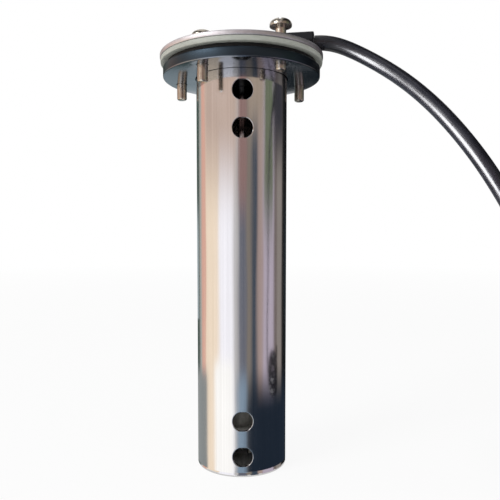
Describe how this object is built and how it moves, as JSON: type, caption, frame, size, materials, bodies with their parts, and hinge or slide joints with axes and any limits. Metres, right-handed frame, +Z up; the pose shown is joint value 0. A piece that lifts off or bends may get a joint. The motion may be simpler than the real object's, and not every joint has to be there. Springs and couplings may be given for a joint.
{
  "type": "water quality probe",
  "caption": "Flange-mounted tank probe: a perforated steel guard tube around a stem with a sliding float, sealed by gaskets under a screwed plate, with a lead from its gland.",
  "frame": {"origin": "centre of the guard tube's lower end, on which the probe stands", "axes": "+Z up along the guard tube's axis; -Y towards the flow holes; the lead leaves towards +X"},
  "size_m": [0.2496, 0.0954, 0.1825],
  "materials": {
    "polished_steel": "polished, faint lengthwise brushing",
    "screw_steel": "bright turned, slightly warm",
    "dark_metal": "dark, glossy",
    "pale_rubber": "smooth, pale grey-green",
    "black_rubber": "matt",
    "black_plastic": "moulded, satin",
    "black_jacket": "smooth, glossy lead jacket",
    "core_insulation": "smooth",
    "white_plastic": "machined, satin",
    "resin": "poured",
    "float_foam": "closed-cell foam",
    "magnet": "sintered",
    "circuit_board": "lacquered",
    "reed_glass": "clear, greenish",
    "tie_nylon": "satin"
  },
  "bodies": {
    "probe": {"top_plate": "polished_steel", "pale_gasket": "pale_rubber", "black_gasket": "black_rubber", "clamp_ring": "dark_metal", "flange_screw_1": "screw_steel", "flange_screw_2": "screw_steel", "flange_screw_4": "screw_steel", "flange_screw_5": "screw_steel", "guard_tube": "polished_steel", "gland_body": "black_plastic", "gland_nut": "black_plastic", "gland_seal": "black_rubber", "gland_lock_nut": "screw_steel", "lead_entry": "black_jacket", "core_bundle": "core_insulation", "header_cup": "black_plastic", "potting": "resin", "stem_tube": "polished_steel", "stem_plug": "screw_steel", "upper_stop": "white_plastic", "lower_stop": "white_plastic", "reed_board": "circuit_board", "reed_switch_1": "reed_glass", "reed_switch_2": "reed_glass", "reed_switch_3": "reed_glass", "reed_switch_4": "reed_glass", "reed_switch_5": "reed_glass", "electrode_holder": "white_plastic", "electrode_1": "screw_steel", "electrode_2": "screw_steel", "temperature_bulb": "screw_steel", "stem_guide": "white_plastic", "lead_cable": "black_jacket", "cable_coil": "black_jacket", "cable_tail": "black_jacket", "coil_tie_1": "tie_nylon", "coil_tie_2": "tie_nylon", "connector_seal": "black_rubber", "connector_shell": "black_plastic", "pin_insert": "white_plastic"},
    "float": {"float_body": "float_foam", "float_magnet": "magnet", "float_cap": "black_plastic"},
    "raised_screw": {"loose_screw": "screw_steel"}
  },
  "joints": [
    {"name": "float_slide", "type": "slide", "parent": "probe", "child": "float", "axis": [0, 0, 1], "range_m": [0, 0.0582]},
    {"name": "loose_screw_travel", "type": "slide", "parent": "probe", "child": "raised_screw", "axis": [0, 0, 1], "range_m": [-0.0045, 0]}
  ]
}
